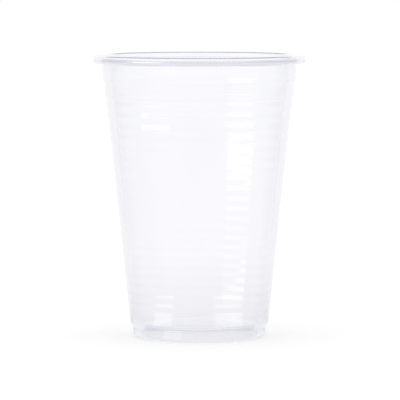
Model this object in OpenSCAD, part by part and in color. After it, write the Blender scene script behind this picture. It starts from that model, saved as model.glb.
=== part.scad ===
// Thin-walled disposable drinking cup, thermoformed from one sheet.
// One middle line with a thickness runs from the centre of the base, up the ribbed wall
// and round the rolled rim. Turned about Z it makes the whole cup.
// The cup stands on z = 0.

/* [Overall] */
// Height of the cup, from the table to the crest of the rim
cup_h = 94; // [80:0.5:110]
// Outside diameter of the rolled rim
rim_d = 70.3; // [66:0.1:76]
// Outside diameter of the foot
foot_d = 44.6; // [40:0.2:50]

/* [Sheet] */
// Thickness of the drawn side wall
wall_t = 0.2; // [0.15:0.01:0.4]
// Thickness of the base
base_t = 0.3; // [0.2:0.01:0.5]
// Thickness of the sheet in the rolled rim
rim_t = 0.4; // [0.25:0.01:0.55]

/* [Rolled rim] */
// Height of the roll
rim_h = 3; // [2.6:0.1:4]
// Width of the roll, from the neck's outside to the rim's outside
rim_w = 2.8; // [2.6:0.1:3.6]
// Radius of the roll's two upper corners
rim_crest_r = 1.05; // [0.8:0.05:1.1]
// Radius of the roll's two lower corners
rim_under_r = 0.55; // [0.4:0.05:0.8]
// Free gap between the neck and the hidden end of the roll
lip_gap = 0.35; // [0.2:0.05:0.6]
// How far the hidden end of the roll turns up inside
lip_up = 1.2; // [0.9:0.1:1.4]

/* [Neck and plain band] */
// Height of the neck under the roll
neck_h = 5.4; // [4.5:0.1:7]
// How far the neck tapers in towards its foot
neck_taper = 0.05; // [0:0.05:0.6]
// How far the wall steps in below the neck, where the next cup of a stack rests
stack_step = 0.7; // [0.4:0.05:1]
// Height of that step
stack_step_h = 1.5; // [1:0.1:2]
// Height of the plain band below the step
plain_h = 3.8; // [2.5:0.1:6]
// How far the plain band tapers in towards its foot
plain_taper = 0.15; // [0.05:0.05:0.6]
// How far the crests of the ribs lie inside the plain band
rib_step = 0.1; // [0.05:0.05:0.4]
// Height over which the plain band turns in to the top groove
rib_step_h = 0.9; // [0.8:0.1:2]

/* [Ribs] */
// Number of ribs
rib_count = 21; // [16:1:25]
// Pitch of the top rib over that of the bottom one
rib_spread = 1.25; // [1:0.05:1.5]
// Height of a rib's crest as a share of its pitch
rib_peak = 0.42; // [0.35:0.01:0.6]
// Depth of the top groove, before crests and grooves are rounded
rib_depth = 0.5; // [0.3:0.01:0.55]
// Depth of the bottom groove
rib_depth_low = 0.08; // [0.06:0.01:0.25]
// How late the grooves deepen on the way up, where 1 is evenly
rib_depth_rise = 4; // [1:0.5:5]
// Radius of a rib's crest
rib_crest_r = 3; // [1.5:0.5:6]
// Radius at the bottom of a groove
rib_groove_r = 0.8; // [0.5:0.1:1.4]
// How far the ribbed wall bows in at half its height
wall_bow = 0.2; // [0:0.05:0.5]

/* [Foot and base] */
// Height of the foot band
foot_h = 3.3; // [2.8:0.1:4.5]
// How far the foot band leans in towards its top
foot_lean = 0.2; // [0.1:0.05:0.5]
// Height of the shoulder above the foot band
shoulder_h = 1.8; // [1:0.1:2.2]
// How far the shoulder stands out over the foot band
shoulder_out = 1.1; // [0.5:0.05:1.2]
// Height from the shoulder's edge to the bottom groove
shoulder_rib_h = 3.4; // [2:0.1:4]
// Radius of the corner that the cup stands on
foot_r = 1.7; // [1:0.1:1.8]
// Width of the standing ring, from the foot's outside to the slope inside it
stand_w = 2.6; // [2.5:0.1:3.2]
// Height of the raised base over the table
base_rise = 4; // [3:0.1:4.4]
// Run of the slope between the standing ring and the raised base
base_slope = 0.9; // [0.6:0.1:1.6]
// Diameter of the flat middle of the raised base
base_flat_d = 18; // [10:1:24]
// How much higher that flat middle lies than the edge of the raised base
base_crown = 0.4; // [0.1:0.1:0.8]

/* [Hidden] */
// Radius of the bends that have none of their own
bend_r = 0.6;
// Radius of the raised base's own bends
base_edge_r = 1;
// Largest share of a straight that its two bends take up
bend_share = 0.96;
// Largest turn between two points of a bend, in degrees
arc_step = 13;
$fn = 180;

// Middle line of the neck, the roll's outside and its hidden end, the foot and its waist
neck_mid = rim_d / 2 - rim_w - rim_t / 2;
roll_mid = rim_d / 2 - rim_t / 2;
lip_mid = rim_d / 2 - rim_w + lip_gap + rim_t / 2;
foot_mid = foot_d / 2 - base_t / 2;
waist_mid = foot_mid - foot_lean;

// Middle line of the plain band, at its top and its foot
plain_high = neck_mid - neck_taper - stack_step;
plain_low = plain_high - plain_taper;

// Heights of the bends, from the foot up
stand_z = base_t / 2;
base_z = base_rise + base_t / 2;
shoulder_z = foot_h + shoulder_h;
crest_z = cup_h - rim_t / 2;
roll_z = cup_h - rim_h + rim_t / 2;
neck_z = cup_h - rim_h - neck_h;
plain_top_z = neck_z - stack_step_h;
plain_foot_z = plain_top_z - plain_h;
rib_top_z = plain_foot_z - rib_step_h;
rib_low_z = shoulder_z + shoulder_rib_h;

// The bowed cone on which the crests of the ribs lie, from the shoulder to the top groove
cone_low = waist_mid + shoulder_out;
cone_high = plain_low - rib_step;
function cone_share(z) = (z - shoulder_z) / (rib_top_z - shoulder_z);
function cone(z) =
    let (share = cone_share(z))
    cone_low + (cone_high - cone_low) * share - 4 * wall_bow * share * (1 - share);

// Groove i, counted from the bottom: the pitch grows evenly upwards and the depth grows late
low_pitch = 2 * (rib_top_z - rib_low_z) / (rib_count * (1 + rib_spread));
pitch_growth = low_pitch * (rib_spread - 1) / (rib_count - 1);
function groove_z(i) = rib_low_z + i * low_pitch + pitch_growth * i * (i - 1) / 2;
function groove_depth(i) =
    rib_depth_low + (rib_depth - rib_depth_low) * pow(i / rib_count, rib_depth_rise);
function groove(i) =
    let (z = groove_z(i))
    [cone(z) - groove_depth(i), z, rib_groove_r, wall_t];

// A bend of the middle line is [distance from the axis, height, radius, thickness]
base_bends = [
    [0, base_z + base_crown, 0, base_t],
    [base_flat_d / 2, base_z + base_crown, base_edge_r, base_t],
    [foot_mid - stand_w - base_slope, base_z, base_edge_r, base_t],
    [foot_mid - stand_w, stand_z, bend_r, base_t]
];
foot_bends = [
    [foot_mid, stand_z, foot_r, base_t],
    [waist_mid, foot_h, bend_r, wall_t],
    [cone_low, shoulder_z, bend_r, wall_t]
];
rib_bends = [
    groove(0),
    for (i = [0 : rib_count - 1])
        let (peak = groove_z(i) + (groove_z(i + 1) - groove_z(i)) * rib_peak)
        for (bend = [[cone(peak), peak, rib_crest_r, wall_t], groove(i + 1)])
        bend
];
neck_bends = [
    [plain_low, plain_foot_z, bend_r, wall_t],
    [plain_high, plain_top_z, bend_r, wall_t],
    [neck_mid - neck_taper, neck_z, bend_r, wall_t]
];
rim_bends = [
    [neck_mid, crest_z, rim_crest_r, rim_t],
    [roll_mid, crest_z, rim_crest_r, rim_t],
    [roll_mid, roll_z, rim_under_r, rim_t],
    [lip_mid, roll_z, rim_under_r, rim_t],
    [lip_mid, roll_z + lip_up, 0, rim_t]
];

function point(bend) = [bend[0], bend[1]];
function unit(v) = v / norm(v);
function reversed(list) = [for (i = [len(list) - 1 : -1 : 0]) list[i]];

// Half the angle between the two straights that meet at bend i
function half_angle(bends, i) =
    let (
        back = point(bends[i - 1]) - point(bends[i]),
        on = point(bends[i + 1]) - point(bends[i])
    )
    acos(unit(back) * unit(on)) / 2;

// Length of each straight that bend i's rounding asks for
function reach(bends, i) =
    i == 0 || i == len(bends) - 1 ? 0 : bends[i][2] / tan(half_angle(bends, i));

// Points of the arc that rounds bend i. Two bends that ask for more than the straight
// between them share it in proportion.
function rounded(bends, i) =
    let (
        corner = point(bends[i]),
        back = point(bends[i - 1]) - corner,
        on = point(bends[i + 1]) - corner,
        half = half_angle(bends, i),
        asked = reach(bends, i),
        free_back = norm(back) / (asked + reach(bends, i - 1)),
        free_on = norm(on) / (asked + reach(bends, i + 1)),
        r = bends[i][2] * min(1, bend_share * free_back, bend_share * free_on),
        centre = corner + unit(unit(back) + unit(on)) * r / sin(half),
        start = corner + unit(back) * r / tan(half) - centre,
        turn = (180 - 2 * half) * -sign(cross(back, on)),
        steps = max(2, ceil(abs(turn) / arc_step))
    )
    [
        for (k = [0 : steps])
            let (angle = turn * k / steps)
            [
                centre[0] + start[0] * cos(angle) - start[1] * sin(angle),
                centre[1] + start[0] * sin(angle) + start[1] * cos(angle),
                bends[i][3]
            ]
    ];

// The middle line as points [distance from the axis, height, thickness], with each bend rounded
function middle_line(bends) =
    let (last = len(bends) - 1)
    [
        [bends[0][0], bends[0][1], bends[0][3]],
        for (i = [1 : last - 1])
            for (p = rounded(bends, i)) p,
        [bends[last][0], bends[last][1], bends[last][3]]
    ];

// One face of the sheet: the middle line moved half a thickness to one side
function face(line, side) =
    let (last = len(line) - 1)
    [
        for (i = [0 : last])
            let (
                before = unit(point(line[max(i, 1)]) - point(line[max(i, 1) - 1])),
                after = unit(point(line[min(i, last - 1) + 1]) - point(line[min(i, last - 1)])),
                along = unit(before + after),
                across = [along[1], -along[0]] / (along * after)
            )
            point(line[i]) + across * side * line[i][2] / 2
    ];

// The whole cup: base, foot, ribbed wall, neck and rolled rim in one sheet
module cup() {
    line = middle_line(concat(base_bends, foot_bends, rib_bends, neck_bends, rim_bends));
    color([0.94, 0.94, 0.97, 0.4])
        rotate_extrude()
            polygon(concat(face(line, 1), reversed(face(line, -1))));
}

cup();
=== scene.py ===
import math

import bmesh
import bpy
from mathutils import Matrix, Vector


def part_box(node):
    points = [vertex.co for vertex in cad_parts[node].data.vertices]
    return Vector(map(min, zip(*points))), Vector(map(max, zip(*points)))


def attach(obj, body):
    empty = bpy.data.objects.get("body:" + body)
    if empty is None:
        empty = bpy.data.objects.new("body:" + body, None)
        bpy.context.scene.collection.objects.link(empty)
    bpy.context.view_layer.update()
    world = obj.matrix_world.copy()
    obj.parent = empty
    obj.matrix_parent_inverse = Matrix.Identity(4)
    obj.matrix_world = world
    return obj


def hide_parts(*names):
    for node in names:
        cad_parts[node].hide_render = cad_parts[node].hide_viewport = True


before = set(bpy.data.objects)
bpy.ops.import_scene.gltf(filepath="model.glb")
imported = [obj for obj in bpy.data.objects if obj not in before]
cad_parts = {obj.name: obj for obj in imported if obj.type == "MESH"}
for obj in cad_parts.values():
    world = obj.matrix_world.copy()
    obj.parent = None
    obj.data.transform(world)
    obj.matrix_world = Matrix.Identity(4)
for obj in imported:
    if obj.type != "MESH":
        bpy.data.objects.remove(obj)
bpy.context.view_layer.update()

# Overall sizes in metres, from the frame
_, CUP_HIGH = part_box("cup")
RIM_R = CUP_HIGH[0]
CUP_H = CUP_HIGH[2]

# Sheet
WALL_T = 0.0002
BASE_T = 0.0003
RIM_T = 0.0004

# Rolled rim
RIM_H = 0.003
RIM_W = 0.0028
RIM_CREST_ROUND = 0.00105
RIM_UNDER_ROUND = 0.00055
LIP_GAP = 0.00035
LIP_UP = 0.0012

# Neck and plain band
NECK_H = 0.0054
NECK_TAPER = 0.00005
STACK_STEP = 0.0007
STACK_STEP_H = 0.0015
PLAIN_H = 0.0038
PLAIN_TAPER = 0.00015
RIB_STEP = 0.0001
RIB_STEP_H = 0.0009

# Ribs
RIB_COUNT = 21
RIB_SPREAD = 1.25
RIB_PEAK = 0.42
RIB_DEPTH = 0.0005
RIB_DEPTH_LOW = 0.00008
RIB_DEPTH_RISE = 4
RIB_CREST_ROUND = 0.003
RIB_GROOVE_ROUND = 0.0008
WALL_BOW = 0.0002

# Foot and base
FOOT_R = 0.0223
FOOT_H = 0.0033
FOOT_LEAN = 0.0002
SHOULDER_H = 0.0018
SHOULDER_OUT = 0.0011
SHOULDER_RIB_H = 0.0034
FOOT_ROUND = 0.0017
STAND_W = 0.0026
BASE_RISE = 0.004
BASE_SLOPE = 0.0009
BASE_FLAT_R = 0.009
BASE_CROWN = 0.0004
BASE_ROUND = 0.001
BEND_ROUND = 0.0006

# Middle line of the sheet at the neck, the roll and the foot
NECK_MID = RIM_R - RIM_W - RIM_T / 2
ROLL_MID = RIM_R - RIM_T / 2
LIP_MID = RIM_R - RIM_W + LIP_GAP + RIM_T / 2
FOOT_MID = FOOT_R - BASE_T / 2
WAIST_MID = FOOT_MID - FOOT_LEAN

# Heights of the bends, from the table up
SHOULDER_Z = FOOT_H + SHOULDER_H
NECK_Z = CUP_H - RIM_H - NECK_H
PLAIN_TOP_Z = NECK_Z - STACK_STEP_H
PLAIN_FOOT_Z = PLAIN_TOP_Z - PLAIN_H
RIB_TOP_Z = PLAIN_FOOT_Z - RIB_STEP_H
CREST_Z = CUP_H - RIM_T / 2
ROLL_Z = CUP_H - RIM_H + RIM_T / 2

# Fineness of the mesh
TURN_STEPS = 144
BEND_SEGMENTS = 4
ROLL_SEGMENTS = 8
MERGE_GAP = 0.000001

# Clear plastic. The drawn sheet's patterns are longer upwards than round the cup.
PLASTIC_IOR = 1.49
DRAWN_STRETCH = (1, 1, 0.35)
WAVE_SCALE = 110
WAVE_DETAIL = 1
WAVE_DEPTH = 0.00004
HAZE_SCALE = 70
HAZE_DETAIL = 3
HAZE_CLOUDS = (0.35, 0.65)
CLEAR_TINT = (0.986, 0.986, 1.0, 1)
HAZY_TINT = (0.976, 0.974, 0.99, 1)
CLEAR_ROUGHNESS = 0.005
HAZE_ROUGHNESS = 0.035
PASSING_TINT = (0.95, 0.95, 0.96, 1)

# Tones of the studio, as the cup's gloss and its clear sheet show them
WHITE_SWEEP = (1.04, 1.04, 1.05, 1)
SWEEP_END = (0.84, 0.84, 0.87, 1)
ROOM_FRONT = (0.82, 0.82, 0.84, 1)
ROOM_SIDE = (0.7, 0.73, 0.76, 1)
# Painted shade: the floor's tone darkens towards the cup
FLOOR_SHADE_NEAR = (0.54, 0.54, 0.56, 1)
FLOOR_FAR = (0.86, 0.85, 0.86, 1)
HORIZON = (0.72, 0.73, 0.76, 1)
DARK_GAP = (0.6, 0.6, 0.66, 1)
SOFTBOX = (1.6, 1.6, 1.6, 1)
SOFTBOX_BAR = (0.86, 0.86, 0.88, 1)
SOFTBOX_FOOT = (2.2, 2.2, 2.25, 1)
WARM_FILL = (0.9, 0.88, 0.8, 1)
CEILING = (0.34, 0.36, 0.42, 1)

# Where those tones lie, in degrees. Azimuth 0 is at the camera and grows to the right. Rise grows upwards.
# Two values are where a change starts and ends. Three are a band's two edges and how far it fades past them.
ROOM_TURN = (60, 84)
FLOOR_START = (-3, -9)
FLOOR_DEPTH = (-44, -15)
HORIZON_BAND = (-3.2, -1.2, 1)
SWEEP_EDGE = 129
SWEEP_START = (SWEEP_EDGE - 1, SWEEP_EDGE + 1)
SWEEP_WHITENS = (SWEEP_EDGE, 168)
SWEEP_TOP = (24, 30)
GAP_BAND = (110, SWEEP_EDGE - 2, 3)
GAP_FOOT = (-1, 2)
GAP_TILT = -0.015
EDGE_LINE_BAND = (SWEEP_EDGE - 3, SWEEP_EDGE, 1)
EDGE_LINE_FOOT = (-13, -10)
SOFTBOX_WIDTH = (-77, -40, 2)
SOFTBOX_HEIGHT = (-1.1, 42, 0.5)
SOFTBOX_BAR_TOP = (12, 8)
SOFTBOX_FOOT_TOP = (1.3, 0.9)
FILL_WIDTH = (29, 58, 3)
FILL_HEIGHT = (0.6, 25, 0.3)
CEILING_EDGE = (45, 52)

# Floor: how it is lit, more of its tones in the gloss with painted light, and its tones seen through the cup
# with painted shade
FLOOR_HALF = 4
FLOOR_PAINT = (0.5, 0.5, 0.5, 1)
FLOOR_LIFT = 0.52
# Painted light: in the gloss the floor is paler at the cup's foot
FLOOR_FOOT_LIGHT = (0.9, 0.92, 0.94, 1)
# Painted light: a pool of light on the floor under each lamp, shown only in the gloss
FLOOR_LIGHT_POOLS = (1.45, 1.45, 1.47, 1)
# Painted shade: seen through the cup, the floor is greyer near the cup
THROUGH_SHADE_NEAR = (0.86, 0.858, 0.872, 1)
THROUGH_SHADE_MID = (0.935, 0.93, 0.95, 1)
THROUGH_FAR = (1.02, 1.02, 1.03, 1)

# Where those tones lie on the floor: distances from the cup's axis in metres, and azimuths in degrees
FOOT_REACH = (0.06, 0.03)
LIGHT_POOLS_REACH = (0.04, 0.06, 0.006)
LIGHT_POOL_LEFT = (-60, -36, 3)
LIGHT_POOL_RIGHT = (22, 56, 5)
MID_REACH = (0.025, 0.06)
FAR_REACH = (0.06, 0.3)

# Camera: a long lens a little above the rim, aimed just under the cup's middle
CAMERA_AWAY = 1.17
CAMERA_ASIDE = 0.00023
CAMERA_Z = 0.131
AIM_Z = 0.04547
LENS_MM = 316.8
SENSOR_MM = 36
VIEW_END = 20


def mix(low, high, share):
    return low + (high - low) * share


def base_bends():
    """Bends of the middle line over the raised base: distance from the axis, height, radius, segments."""
    base_z = BASE_RISE + BASE_T / 2
    stand_in = FOOT_MID - STAND_W
    return [
        (0, base_z + BASE_CROWN, 0, 0),
        (BASE_FLAT_R, base_z + BASE_CROWN, BASE_ROUND, BEND_SEGMENTS),
        (stand_in - BASE_SLOPE, base_z, BASE_ROUND, BEND_SEGMENTS),
        (stand_in, BASE_T / 2, BEND_ROUND, BEND_SEGMENTS),
    ]


def foot_bends():
    return [
        (FOOT_MID, BASE_T / 2, FOOT_ROUND, ROLL_SEGMENTS),
        (WAIST_MID, FOOT_H, BEND_ROUND, BEND_SEGMENTS),
        (WAIST_MID + SHOULDER_OUT, SHOULDER_Z, BEND_ROUND, BEND_SEGMENTS),
    ]


def cone_r(z):
    """Distance of the ribs' crests from the axis, on a cone that bows in between its ends."""
    low = WAIST_MID + SHOULDER_OUT
    high = NECK_MID - NECK_TAPER - STACK_STEP - PLAIN_TAPER - RIB_STEP
    share = (z - SHOULDER_Z) / (RIB_TOP_Z - SHOULDER_Z)
    return mix(low, high, share) - 4 * WALL_BOW * share * (1 - share)


def rib_bends():
    """A crest and a groove for each rib. The pitch grows evenly upwards and the depth grows late."""
    z = SHOULDER_Z + SHOULDER_RIB_H
    low_pitch = 2 * (RIB_TOP_Z - z) / (RIB_COUNT * (1 + RIB_SPREAD))
    growth = low_pitch * (RIB_SPREAD - 1) / (RIB_COUNT - 1)
    bends = [(cone_r(z) - RIB_DEPTH_LOW, z, RIB_GROOVE_ROUND, BEND_SEGMENTS)]
    for rib in range(RIB_COUNT):
        pitch = low_pitch + growth * rib
        peak = z + pitch * RIB_PEAK
        z += pitch
        depth = mix(RIB_DEPTH_LOW, RIB_DEPTH, ((rib + 1) / RIB_COUNT) ** RIB_DEPTH_RISE)
        bends.append((cone_r(peak), peak, RIB_CREST_ROUND, BEND_SEGMENTS))
        bends.append((cone_r(z) - depth, z, RIB_GROOVE_ROUND, BEND_SEGMENTS))
    return bends


def neck_bends():
    plain_high = NECK_MID - NECK_TAPER - STACK_STEP
    return [
        (plain_high - PLAIN_TAPER, PLAIN_FOOT_Z, BEND_ROUND, BEND_SEGMENTS),
        (plain_high, PLAIN_TOP_Z, BEND_ROUND, BEND_SEGMENTS),
        (NECK_MID - NECK_TAPER, NECK_Z, BEND_ROUND, BEND_SEGMENTS),
    ]


def rim_bends():
    return [
        (NECK_MID, CREST_Z, RIM_CREST_ROUND, ROLL_SEGMENTS),
        (ROLL_MID, CREST_Z, RIM_CREST_ROUND, ROLL_SEGMENTS),
        (ROLL_MID, ROLL_Z, RIM_UNDER_ROUND, ROLL_SEGMENTS),
        (LIP_MID, ROLL_Z, RIM_UNDER_ROUND, ROLL_SEGMENTS),
        (LIP_MID, ROLL_Z + LIP_UP, 0, 0),
    ]


def draw_middle_line(bm, bends):
    """The sheet's middle line as a wire in the XZ plane, with every bend rounded by a vertex bevel."""
    line = [bm.verts.new((r, 0, z)) for r, z, _, _ in bends]
    for start, end in zip(line, line[1:]):
        bm.edges.new((start, end))
    corners = [vert.co.copy() for vert in line]
    for i in range(1, len(bends) - 1):
        _, _, radius, segments = bends[i]
        turn = (corners[i] - corners[i - 1]).angle(corners[i + 1] - corners[i])
        bmesh.ops.bevel(
            bm, geom=[line[i]], offset=radius * math.tan(turn / 2), offset_type="OFFSET",
            affect="VERTICES", segments=segments, profile=0.5, material=-1,
        )


def sheet_share(co):
    """Sheet thickness at a point of the middle line, as a share of the rim's."""
    radius = math.hypot(co.x, co.y)
    if radius < FOOT_MID - STAND_W:
        return BASE_T / RIM_T
    if co.z < FOOT_H:
        return mix(WALL_T, BASE_T, min(1, (FOOT_H - co.z) / FOOT_ROUND)) / RIM_T
    if radius > NECK_MID + RIM_T / 4:
        return 1
    return mix(WALL_T, RIM_T, max(0, (co.z - NECK_Z) / (CREST_Z - NECK_Z))) / RIM_T


def build_cup():
    """The whole cup in one sheet: the middle line spun about Z and given its thickness."""
    bm = bmesh.new()
    draw_middle_line(bm, base_bends() + foot_bends() + rib_bends() + neck_bends() + rim_bends())
    bmesh.ops.spin(
        bm, geom=bm.verts[:] + bm.edges[:], cent=(0, 0, 0), axis=(0, 0, 1), dvec=(0, 0, 0),
        angle=math.tau, steps=TURN_STEPS, use_merge=True, use_duplicate=False,
    )
    bmesh.ops.remove_doubles(bm, verts=bm.verts[:], dist=MERGE_GAP)
    bmesh.ops.recalc_face_normals(bm, faces=bm.faces[:])
    for face in bm.faces:
        face.smooth = True
    mesh = bpy.data.meshes.new("clear_cup")
    bm.to_mesh(mesh)
    bm.free()
    cup = bpy.data.objects.new("clear_cup", mesh)
    bpy.context.collection.objects.link(cup)

    thickness = cup.vertex_groups.new(name="sheet")
    for vert in mesh.vertices:
        thickness.add([vert.index], sheet_share(vert.co), "REPLACE")
    shell = cup.modifiers.new("sheet", "SOLIDIFY")
    shell.thickness = RIM_T
    shell.offset = 0
    shell.use_even_offset = True
    shell.vertex_group = thickness.name
    mesh.materials.append(clear_plastic())
    return cup


def new_material(name):
    material = bpy.data.materials.new(name)
    material.use_nodes = True
    material.node_tree.nodes.clear()
    return material, material.node_tree.nodes, material.node_tree.links


def combine(nodes, links, operation, first, second=None):
    """The result of a Math node on one or two sockets."""
    joined = nodes.new("ShaderNodeMath")
    joined.operation = operation
    links.new(first, joined.inputs[0])
    if second is not None:
        links.new(second, joined.inputs[1])
    return joined.outputs[0]


def both(nodes, links, first, second):
    """The share that two masks have in common."""
    return combine(nodes, links, "MULTIPLY", first, second)


def scaled(nodes, links, value, factor, added, clamp=False):
    """value times the number factor, plus added, which is a number or a socket."""
    scaler = nodes.new("ShaderNodeMath")
    scaler.operation = "MULTIPLY_ADD"
    scaler.use_clamp = clamp
    links.new(value, scaler.inputs[0])
    scaler.inputs[1].default_value = factor
    if isinstance(added, (int, float)):
        scaler.inputs[2].default_value = added
    else:
        links.new(added, scaler.inputs[2])
    return scaler.outputs[0]


def ramp_between(nodes, links, value, start, end):
    """0 at start and 1 at end, straight between them and level beyond them."""
    width = end - start
    return scaled(nodes, links, value, 1 / width, -start / width, clamp=True)


def window(nodes, links, value, low, high, soft):
    """1 between low and high, falling to 0 over the width soft outside them."""
    rise = ramp_between(nodes, links, value, low - soft, low)
    fall = ramp_between(nodes, links, value, high + soft, high)
    return both(nodes, links, rise, fall)


def at_least(nodes, links, whole, count):
    """1 where a whole number is count or more, else 0."""
    edge = count - 0.5
    return ramp_between(nodes, links, whole, edge - 0.1, edge + 0.1)


def less_than(nodes, links, whole, count):
    """1 where a whole number is less than count, else 0."""
    edge = count - 0.5
    return ramp_between(nodes, links, whole, edge + 0.1, edge - 0.1)


def lay_over(nodes, links, below, share, tone):
    """The colour tone laid over the colour below, by share."""
    layer = nodes.new("ShaderNodeMix")
    layer.data_type = "RGBA"
    links.new(share, layer.inputs["Factor"])
    layer_in = [socket for socket in layer.inputs if socket.type == "RGBA"]
    layer_out = [socket for socket in layer.outputs if socket.type == "RGBA"]
    for socket, colour in zip(layer_in, (below, tone)):
        if isinstance(colour, tuple):
            socket.default_value = colour
        else:
            links.new(colour, socket)
    return layer_out[0]


def noise(nodes, links, vector, scale, detail):
    pattern = nodes.new("ShaderNodeTexNoise")
    pattern.inputs["Scale"].default_value = scale
    pattern.inputs["Detail"].default_value = detail
    links.new(vector, pattern.inputs["Vector"])
    return pattern.outputs["Fac"]


def glow(nodes, links, colour):
    shader = nodes.new("ShaderNodeEmission")
    links.new(colour, shader.inputs["Color"])
    return shader.outputs[0]


def mix_shaders(nodes, links, share, first, second):
    """The first shader where share is 0 and the second where it is 1."""
    mixed = nodes.new("ShaderNodeMixShader")
    for socket, source in zip(mixed.inputs, (share, first, second)):
        links.new(source, socket)
    return mixed.outputs[0]


def azimuth_of(nodes, links, split):
    """Azimuth of a separated vector in degrees, 0 towards the camera and growing to the right."""
    forward = scaled(nodes, links, split.outputs["Y"], -1, 0)
    azimuth = combine(nodes, links, "ARCTAN2", split.outputs["X"], forward)
    return combine(nodes, links, "DEGREES", azimuth)


def studio_angles(nodes, links, direction):
    """Azimuth and rise of a direction in degrees."""
    unit = nodes.new("ShaderNodeVectorMath")
    unit.operation = "NORMALIZE"
    links.new(direction, unit.inputs[0])
    split = nodes.new("ShaderNodeSeparateXYZ")
    links.new(unit.outputs[0], split.inputs[0])
    rise = combine(nodes, links, "ARCSINE", split.outputs["Z"])
    return azimuth_of(nodes, links, split), combine(nodes, links, "DEGREES", rise)


def room_and_floor(nodes, links, aside, rise):
    """The grey room, darker at its sides, a floor that darkens towards the cup with painted shade, and a
    line between them.
    """
    room = lay_over(nodes, links, ROOM_FRONT, ramp_between(nodes, links, aside, *ROOM_TURN), ROOM_SIDE)
    floor = lay_over(nodes, links, FLOOR_SHADE_NEAR, ramp_between(nodes, links, rise, *FLOOR_DEPTH), FLOOR_FAR)
    tone = lay_over(nodes, links, room, ramp_between(nodes, links, rise, *FLOOR_START), floor)
    return lay_over(nodes, links, tone, window(nodes, links, rise, *HORIZON_BAND), HORIZON)


def lay_sweep(nodes, links, tone, aside, rise, ceiling):
    """The white sweep behind the cup, greyer towards its ends, with the ceiling over it."""
    whitens = ramp_between(nodes, links, aside, *SWEEP_WHITENS)
    sweep = lay_over(nodes, links, SWEEP_END, whitens, WHITE_SWEEP)
    top = both(nodes, links, ramp_between(nodes, links, rise, *SWEEP_TOP), ceiling)
    sweep = lay_over(nodes, links, sweep, top, CEILING)
    return lay_over(nodes, links, tone, ramp_between(nodes, links, aside, *SWEEP_START), sweep)


def lay_gaps(nodes, links, tone, azimuth, aside, rise):
    """A dark gap past each end of the sweep, with its foot higher on the right, and a dark line down the
    sweep's edge to the floor."""
    tilted = scaled(nodes, links, azimuth, GAP_TILT, rise)
    over_floor = ramp_between(nodes, links, tilted, *GAP_FOOT)
    gap = both(nodes, links, window(nodes, links, aside, *GAP_BAND), over_floor)
    tone = lay_over(nodes, links, tone, gap, DARK_GAP)
    over_floor = ramp_between(nodes, links, rise, *EDGE_LINE_FOOT)
    line = both(nodes, links, window(nodes, links, aside, *EDGE_LINE_BAND), over_floor)
    return lay_over(nodes, links, tone, line, DARK_GAP)


def lay_lamps(nodes, links, tone, azimuth, rise):
    """The softbox on the left, with a grey lower part and a bright foot, and the warm fill on the right."""
    box = lay_over(nodes, links, SOFTBOX, ramp_between(nodes, links, rise, *SOFTBOX_BAR_TOP), SOFTBOX_BAR)
    box = lay_over(nodes, links, box, ramp_between(nodes, links, rise, *SOFTBOX_FOOT_TOP), SOFTBOX_FOOT)
    for width, height, lamp in ((SOFTBOX_WIDTH, SOFTBOX_HEIGHT, box), (FILL_WIDTH, FILL_HEIGHT, WARM_FILL)):
        across = window(nodes, links, azimuth, *width)
        share = both(nodes, links, across, window(nodes, links, rise, *height))
        tone = lay_over(nodes, links, tone, share, lamp)
    return tone


def studio_tones():
    """How bright the studio is in a direction from the cup. The world and the floor share it. Ceiling is how
    much of the dark ceiling there is, from 0 to 1."""
    group = bpy.data.node_groups.new("studio_tones", "ShaderNodeTree")
    group.interface.new_socket("Direction", in_out="INPUT", socket_type="NodeSocketVector")
    group.interface.new_socket("Ceiling", in_out="INPUT", socket_type="NodeSocketFloat")
    group.interface.new_socket("Tone", in_out="OUTPUT", socket_type="NodeSocketColor")
    nodes, links = group.nodes, group.links
    given = nodes.new("NodeGroupInput")
    result = nodes.new("NodeGroupOutput")
    azimuth, rise = studio_angles(nodes, links, given.outputs["Direction"])
    aside = combine(nodes, links, "ABSOLUTE", azimuth)
    tone = room_and_floor(nodes, links, aside, rise)
    tone = lay_sweep(nodes, links, tone, aside, rise, given.outputs["Ceiling"])
    tone = lay_gaps(nodes, links, tone, azimuth, aside, rise)
    tone = lay_lamps(nodes, links, tone, azimuth, rise)
    overhead = ramp_between(nodes, links, rise, *CEILING_EDGE)
    overhead = both(nodes, links, overhead, given.outputs["Ceiling"])
    links.new(lay_over(nodes, links, tone, overhead, CEILING), result.inputs["Tone"])
    return group


def in_air(nodes, links, path):
    """1 for light that has gone through an even number of faces, and so is outside the sheet, else 0."""
    odd = nodes.new("ShaderNodeMath")
    odd.operation = "MODULO"
    odd.inputs[1].default_value = 2
    links.new(path.outputs["Transmission Depth"], odd.inputs[0])
    return less_than(nodes, links, odd.outputs[0], 1)


def passing_light(nodes, links):
    """1 for light that the sheet lets straight on, else 0: a lamp's, what has been thrown back and is in the
    air again, what has been thrown back twice, and what has gone through four faces."""
    path = nodes.new("ShaderNodeLightPath")
    thrown_back = at_least(nodes, links, path.outputs["Glossy Depth"], 1)
    thrown_back = both(nodes, links, thrown_back, in_air(nodes, links, path))
    trapped = at_least(nodes, links, path.outputs["Glossy Depth"], 2)
    through = at_least(nodes, links, path.outputs["Transmission Depth"], 4)
    passing = path.outputs["Is Shadow Ray"]
    for share in (thrown_back, trapped, through):
        passing = combine(nodes, links, "MAXIMUM", passing, share)
    return passing


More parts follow.
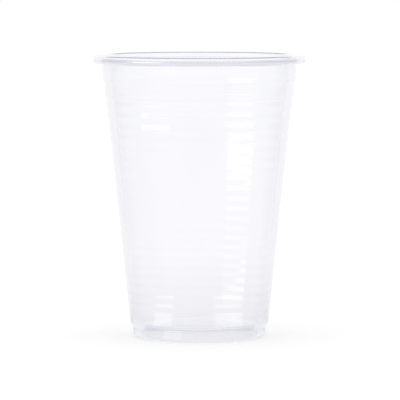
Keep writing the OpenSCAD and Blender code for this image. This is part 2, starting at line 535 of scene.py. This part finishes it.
def clear_plastic():
    """Clear drawn sheet with faint clouds of haze, slightly wavy below the neck. It lets light that has been
    thrown about in it straight on, so that its thin edges stay clean."""
    material, nodes, links = new_material("clear_plastic")
    output = nodes.new("ShaderNodeOutputMaterial")
    shader = nodes.new("ShaderNodeBsdfPrincipled")
    shader.inputs["IOR"].default_value = PLASTIC_IOR
    shader.inputs["Transmission Weight"].default_value = 1

    place = nodes.new("ShaderNodeTexCoord")
    drawn = nodes.new("ShaderNodeMapping")
    drawn.inputs["Scale"].default_value = DRAWN_STRETCH
    links.new(place.outputs["Object"], drawn.inputs["Vector"])
    height = nodes.new("ShaderNodeSeparateXYZ")
    links.new(place.outputs["Object"], height.inputs[0])
    below_neck = ramp_between(nodes, links, height.outputs["Z"], NECK_Z, RIB_TOP_Z)

    waves = noise(nodes, links, drawn.outputs[0], WAVE_SCALE, WAVE_DETAIL)
    bump = nodes.new("ShaderNodeBump")
    bump.inputs["Strength"].default_value = 1
    bump.inputs["Distance"].default_value = WAVE_DEPTH
    links.new(both(nodes, links, waves, below_neck), bump.inputs["Height"])
    links.new(bump.outputs[0], shader.inputs["Normal"])

    haze = noise(nodes, links, drawn.outputs[0], HAZE_SCALE, HAZE_DETAIL)
    cloud = ramp_between(nodes, links, haze, *HAZE_CLOUDS)
    links.new(lay_over(nodes, links, CLEAR_TINT, cloud, HAZY_TINT), shader.inputs["Base Color"])
    low_cloud = both(nodes, links, cloud, below_neck)
    rough = scaled(nodes, links, low_cloud, HAZE_ROUGHNESS, CLEAR_ROUGHNESS)
    links.new(rough, shader.inputs["Roughness"])

    straight = nodes.new("ShaderNodeBsdfTransparent")
    straight.inputs["Color"].default_value = PASSING_TINT
    passing = passing_light(nodes, links)
    surface = mix_shaders(nodes, links, passing, shader.outputs["BSDF"], straight.outputs[0])
    links.new(surface, output.inputs["Surface"])
    return material


def floor_through_cup(nodes, links, reach):
    """The floor's tones seen through the cup, greyer near it with painted shade."""
    near = lay_over(nodes, links, THROUGH_SHADE_NEAR, ramp_between(nodes, links, reach, *MID_REACH), THROUGH_SHADE_MID)
    return lay_over(nodes, links, near, ramp_between(nodes, links, reach, *FAR_REACH), THROUGH_FAR)


def floor_in_gloss(nodes, links, tones, place, reach):
    """The studio's tones on the floor, with painted light at the cup's foot and a painted pool of light
    under each of the two lamps.
    """
    from_cup = nodes.new("ShaderNodeVectorMath")
    from_cup.operation = "SUBTRACT"
    from_cup.inputs[1].default_value = (0, 0, CUP_H / 2)
    links.new(place, from_cup.inputs[0])
    studio = nodes.new("ShaderNodeGroup")
    studio.node_tree = tones
    links.new(from_cup.outputs[0], studio.inputs["Direction"])
    at_foot = ramp_between(nodes, links, reach, *FOOT_REACH)
    tone = lay_over(nodes, links, studio.outputs["Tone"], at_foot, FLOOR_FOOT_LIGHT)

    split = nodes.new("ShaderNodeSeparateXYZ")
    links.new(place, split.inputs[0])
    azimuth = azimuth_of(nodes, links, split)
    left, right = (window(nodes, links, azimuth, *lamp) for lamp in (LIGHT_POOL_LEFT, LIGHT_POOL_RIGHT))
    ring = window(nodes, links, reach, *LIGHT_POOLS_REACH)
    light_pools = both(nodes, links, ring, combine(nodes, links, "MAXIMUM", left, right))
    return lay_over(nodes, links, tone, light_pools, FLOOR_LIGHT_POOLS)


def pale_floor(tones):
    """White to the camera, with the cup's faint shadow on it. Where it is seen through the cup and in the
    cup's gloss it shows painted tones: painted shade near the cup, painted light at the cup's foot and
    painted pools of light under the lamps. It is plain grey in all other light."""
    material, nodes, links = new_material("pale_floor")
    output = nodes.new("ShaderNodeOutputMaterial")
    path = nodes.new("ShaderNodeLightPath")
    place = nodes.new("ShaderNodeTexCoord")
    reach = nodes.new("ShaderNodeVectorMath")
    reach.operation = "LENGTH"
    links.new(place.outputs["Object"], reach.inputs[0])

    plain = nodes.new("ShaderNodeBsdfDiffuse")
    plain.inputs["Color"].default_value = FLOOR_PAINT
    lift = nodes.new("ShaderNodeEmission")
    lift.inputs["Strength"].default_value = FLOOR_LIFT
    white = nodes.new("ShaderNodeAddShader")
    links.new(plain.outputs[0], white.inputs[0])
    links.new(lift.outputs[0], white.inputs[1])
    through = glow(nodes, links, floor_through_cup(nodes, links, reach.outputs["Value"]))
    seen = mix_shaders(nodes, links, path.outputs["Is Camera Ray"], through, white.outputs[0])

    tone = floor_in_gloss(nodes, links, tones, place.outputs["Object"], reach.outputs["Value"])
    in_gloss = at_least(nodes, links, path.outputs["Glossy Depth"], 1)
    unseen = mix_shaders(nodes, links, in_gloss, plain.outputs[0], glow(nodes, links, tone))

    in_view = combine(
        nodes, links, "MAXIMUM", path.outputs["Is Camera Ray"], path.outputs["Is Transmission Ray"],
    )
    in_view = both(nodes, links, in_view, less_than(nodes, links, path.outputs["Glossy Depth"], 1))
    links.new(mix_shaders(nodes, links, in_view, unseen, seen), output.inputs["Surface"])
    return material


def build_floor(tones):
    bm = bmesh.new()
    bmesh.ops.create_grid(bm, x_segments=1, y_segments=1, size=FLOOR_HALF)
    mesh = bpy.data.meshes.new("floor")
    bm.to_mesh(mesh)
    bm.free()
    floor = bpy.data.objects.new("floor", mesh)
    bpy.context.collection.objects.link(floor)
    mesh.materials.append(pale_floor(tones))


def light_world(tones):
    """White to the camera and for the light on the floor. The cup shows the studio's tones, but the dark
    ceiling only in light that has gone through one wall at most."""
    world = bpy.data.worlds.new("studio")
    bpy.context.scene.world = world
    world.use_nodes = True
    nodes, links = world.node_tree.nodes, world.node_tree.links
    nodes.clear()
    output = nodes.new("ShaderNodeOutputWorld")
    path = nodes.new("ShaderNodeLightPath")
    white = nodes.new("ShaderNodeBackground")
    white.inputs["Color"].default_value = (1, 1, 1, 1)

    direction = nodes.new("ShaderNodeTexCoord")
    studio = nodes.new("ShaderNodeGroup")
    studio.node_tree = tones
    links.new(direction.outputs["Generated"], studio.inputs["Direction"])
    near = less_than(nodes, links, path.outputs["Transmission Depth"], 3)
    links.new(both(nodes, links, near, in_air(nodes, links, path)), studio.inputs["Ceiling"])
    room = nodes.new("ShaderNodeBackground")
    links.new(studio.outputs["Tone"], room.inputs["Color"])

    by_cup = combine(
        nodes, links, "MAXIMUM", path.outputs["Is Glossy Ray"], path.outputs["Is Transmission Ray"],
    )
    surface = mix_shaders(nodes, links, by_cup, white.outputs[0], room.outputs[0])
    links.new(surface, output.inputs["Surface"])


def softbox(name, azimuth, rise, distance, width, height, power):
    """An area lamp that looks at the cup. Azimuth 0 is at the camera and grows to the right."""
    lamp = bpy.data.lights.new(name, "AREA")
    lamp.shape = "RECTANGLE"
    lamp.size = width
    lamp.size_y = height
    lamp.energy = power
    light = bpy.data.objects.new(name, lamp)
    bpy.context.collection.objects.link(light)
    flat = distance * math.cos(math.radians(rise))
    up = distance * math.sin(math.radians(rise))
    turn = math.radians(azimuth)
    to_lamp = Vector((flat * math.sin(turn), -flat * math.cos(turn), up))
    light.location = Vector((0, 0, CUP_H / 2)) + to_lamp
    light.rotation_euler = (-to_lamp).to_track_quat("-Z", "Y").to_euler()
    light.visible_camera = False
    light.visible_glossy = False
    light.visible_transmission = False


def place_camera():
    """The photograph's view."""
    lens = bpy.data.cameras.new("camera")
    lens.lens = LENS_MM
    lens.sensor_width = SENSOR_MM
    lens.clip_end = VIEW_END
    camera = bpy.data.objects.new("camera", lens)
    bpy.context.collection.objects.link(camera)
    camera.location = (CAMERA_ASIDE, -CAMERA_AWAY, CAMERA_Z)
    dip = math.atan((CAMERA_Z - AIM_Z) / CAMERA_AWAY)
    camera.rotation_euler = (math.pi / 2 - dip, 0, 0)
    bpy.context.scene.camera = camera


bpy.context.scene.view_settings.view_transform = "Standard"

cup = build_cup()
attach(cup, "root")
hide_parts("cup")

tones = studio_tones()
build_floor(tones)
light_world(tones)
softbox("key_softbox", azimuth=-58, rise=24, distance=1.1, width=0.75, height=0.9, power=2)
place_camera()
